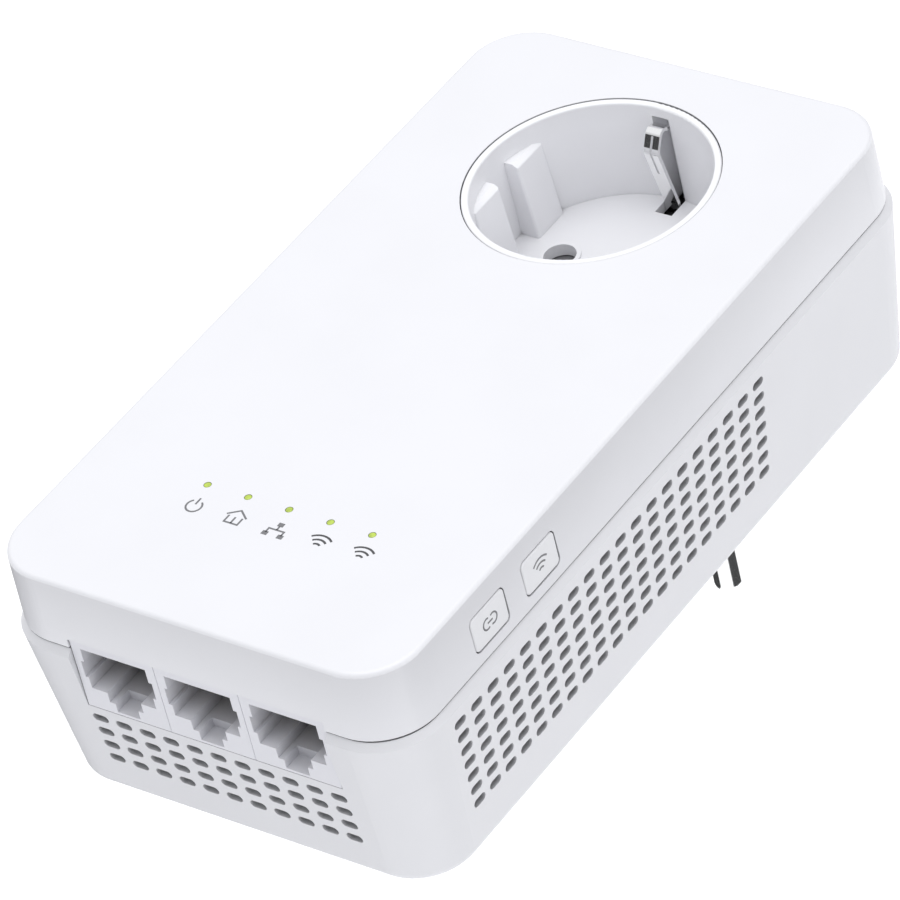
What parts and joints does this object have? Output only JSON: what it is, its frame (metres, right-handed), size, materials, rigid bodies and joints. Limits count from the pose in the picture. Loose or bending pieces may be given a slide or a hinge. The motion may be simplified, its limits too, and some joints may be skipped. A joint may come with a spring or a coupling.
{
  "type": "powerline adapter",
  "caption": "Plug-in powerline network adapter with a pass-through side-earthed mains socket, network jacks in one end, status lamps and side push buttons.",
  "frame": {"origin": "on the plug's axis, midway between the pins, in the plane where the pins leave the plug body", "axes": "+Z out of the front face, -Z along the pins, -Y towards the end with the network jacks, +X towards the side with the push buttons"},
  "size_m": [0.074, 0.138, 0.0785],
  "materials": {
    "cover_plastic": "satin",
    "case_plastic": "satin",
    "socket_plastic": "satin",
    "button_plastic": "satin",
    "steel": "satin",
    "label": "matt foil",
    "nickel": "polished",
    "shutter_plastic": "matt",
    "carrier_plastic": "matt",
    "copper": "satin",
    "plug_plastic": "fine grain",
    "clear_plastic": "clear",
    "lamp": "clear",
    "board": "satin solder mask",
    "chip": "matt",
    "aluminium": "satin",
    "tin": "satin",
    "black_plastic": "matt",
    "sheet": "translucent film",
    "ferrite": "matt",
    "tape": "satin",
    "capacitor_sleeve": "satin",
    "yellow_plastic": "satin",
    "blue_epoxy": "satin",
    "brown_pvc": "satin",
    "blue_pvc": "satin",
    "grey_pvc": "satin",
    "jack_plastic": "satin",
    "gold": "polished"
  },
  "bodies": {
    "adapter": {"front_cover": "cover_plastic", "rear_case": "case_plastic", "socket_well": "socket_plastic", "case_screws": "steel", "board_screws": "steel", "rating_label": "label", "earth_clip_upper": "nickel", "earth_clip_lower": "nickel", "earth_strap": "nickel", "shutter_spring": "steel", "contact_carrier": "carrier_plastic", "live_contact": "copper", "neutral_contact": "copper", "plug_body": "plug_plastic", "live_pin": "nickel", "neutral_pin": "nickel", "light_guide": "clear_plastic", "status_lamps": "lamp", "main_board": "board", "power_board": "board", "processor_chip": "chip", "switch_chip": "chip", "memory_chip": "chip", "radio_chip": "chip", "controller_chip": "chip", "heat_sink": "aluminium", "shield_can": "tin", "lan_transformers": "chip", "board_header": "black_plastic", "insulating_sheet": "sheet", "transformer_core": "ferrite", "transformer_winding": "tape", "bulk_capacitors": "capacitor_sleeve", "output_capacitors": "capacitor_sleeve", "x_capacitor": "yellow_plastic", "mains_choke": "ferrite", "fuse": "black_plastic", "varistor": "blue_epoxy", "bridge_rectifier": "black_plastic", "coupling_transformer": "ferrite", "live_lead": "brown_pvc", "neutral_lead": "blue_pvc", "antenna_left": "board", "antenna_right": "board", "antenna_lead_left": "grey_pvc", "antenna_lead_right": "grey_pvc", "jack_left": "jack_plastic", "jack_middle": "jack_plastic", "jack_right": "jack_plastic", "jack_contacts_left": "gold", "jack_contacts_middle": "gold", "jack_contacts_right": "gold", "pair_switch": "black_plastic", "wifi_switch": "black_plastic"},
    "pair_button": {"pair_button": "button_plastic", "pair_plunger": "black_plastic"},
    "wifi_button": {"wifi_button": "button_plastic", "wifi_plunger": "black_plastic"},
    "shutter": {"shutter": "shutter_plastic"}
  },
  "joints": [
    {"name": "pair_button_press", "type": "slide", "parent": "adapter", "child": "pair_button", "axis": [-1, 0, 0], "range_m": [0, 0.0005], "stiffness_N_per_m": 800},
    {"name": "wifi_button_press", "type": "slide", "parent": "adapter", "child": "wifi_button", "axis": [-1, 0, 0], "range_m": [0, 0.0005], "stiffness_N_per_m": 800},
    {"name": "shutter_turn", "type": "hinge", "parent": "adapter", "child": "shutter", "pos_m": [0, 0, 0.0395], "axis": [0, 0, 1], "range_deg": [0, 35], "stiffness_Nm_per_rad": 0.01}
  ]
}
